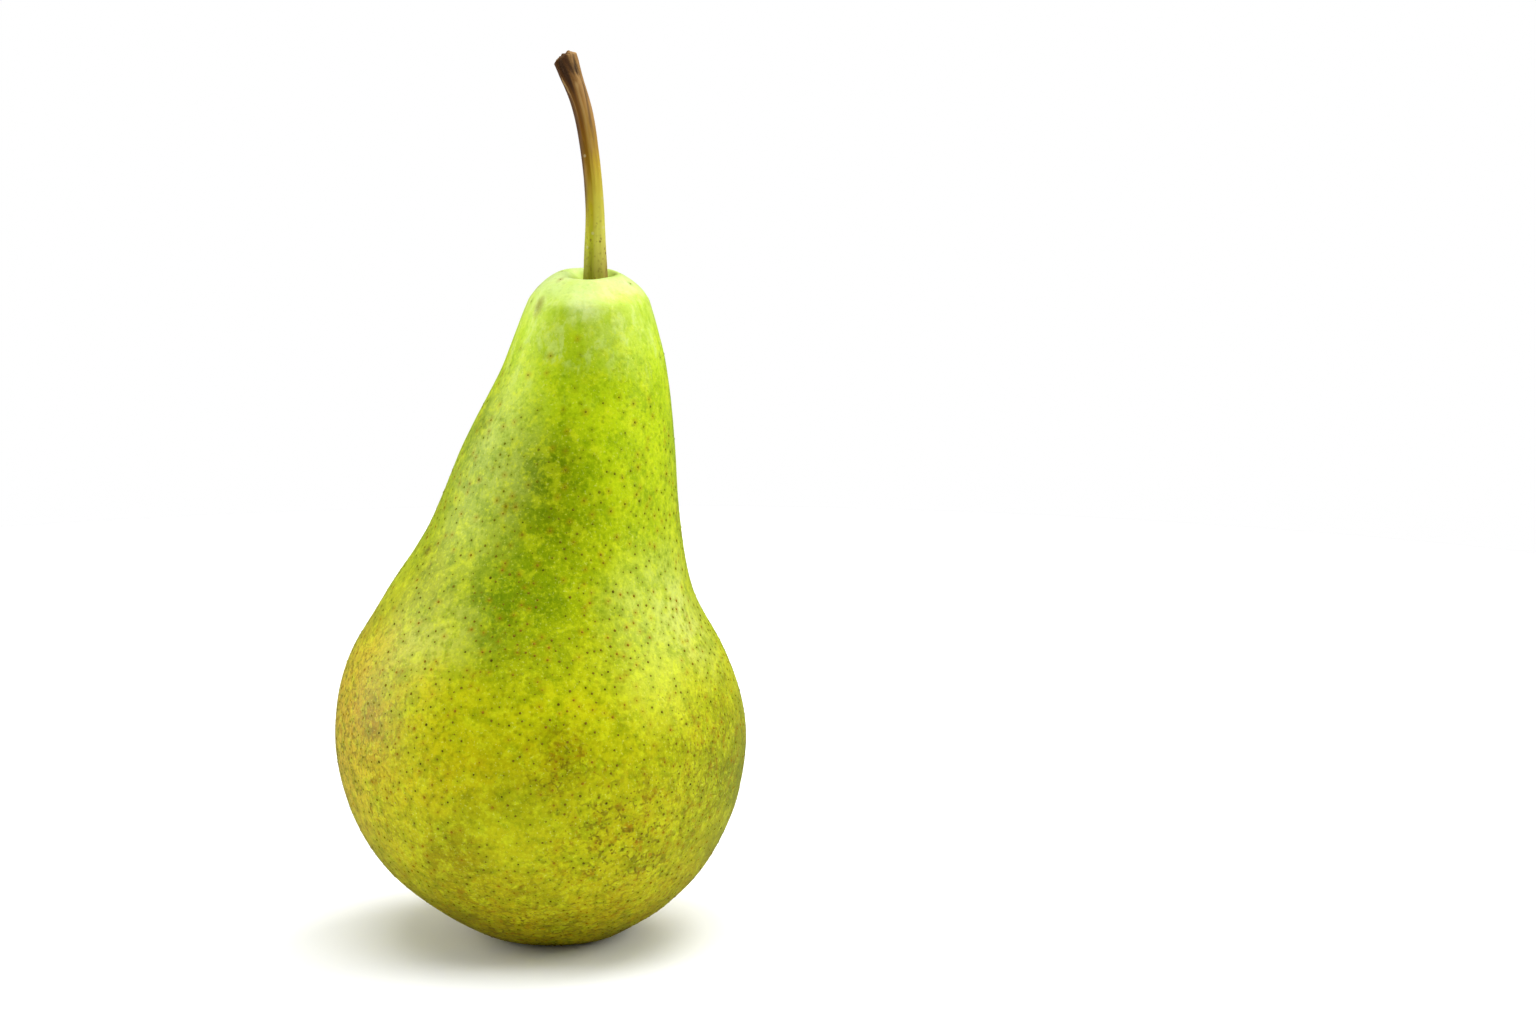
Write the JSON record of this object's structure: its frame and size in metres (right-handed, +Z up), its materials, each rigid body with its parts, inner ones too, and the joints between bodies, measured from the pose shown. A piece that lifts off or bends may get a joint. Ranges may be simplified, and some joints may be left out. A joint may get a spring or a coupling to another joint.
{
  "type": "pear",
  "caption": "Long-necked green pear standing upright on its base, with a leaning neck, a curved woody stem and a dried calyx in a basin underneath.",
  "frame": {"origin": "On the surface that the pear stands on, in the middle of its outline seen from above.", "axes": "+Z up, from the calyx to the stem. +X is the side that the neck leans to. +Y is the back, and the front faces -Y."},
  "size_m": [0.0662, 0.0674, 0.1421],
  "materials": {
    "skin": "satin waxy pear skin, yellow-green with fine russet and dots",
    "stem": "dried woody stem, green at the foot and brown at the tip",
    "calyx": "dried, crumpled sepals, dark grey-brown",
    "stamen": "dried flower threads, light brown"
  },
  "bodies": {
    "root": {"fruit": "skin", "stem": "stem", "calyx_tube": "calyx", "sepal_1": "calyx", "sepal_2": "calyx", "sepal_3": "calyx", "sepal_4": "calyx", "sepal_5": "calyx", "stamen_1": "stamen", "stamen_2": "stamen", "stamen_3": "stamen", "stamen_4": "stamen", "stamen_5": "stamen", "stamen_6": "stamen", "stamen_7": "stamen", "stamen_8": "stamen", "stamen_9": "stamen", "stamen_10": "stamen"}
  },
  "joints": []
}
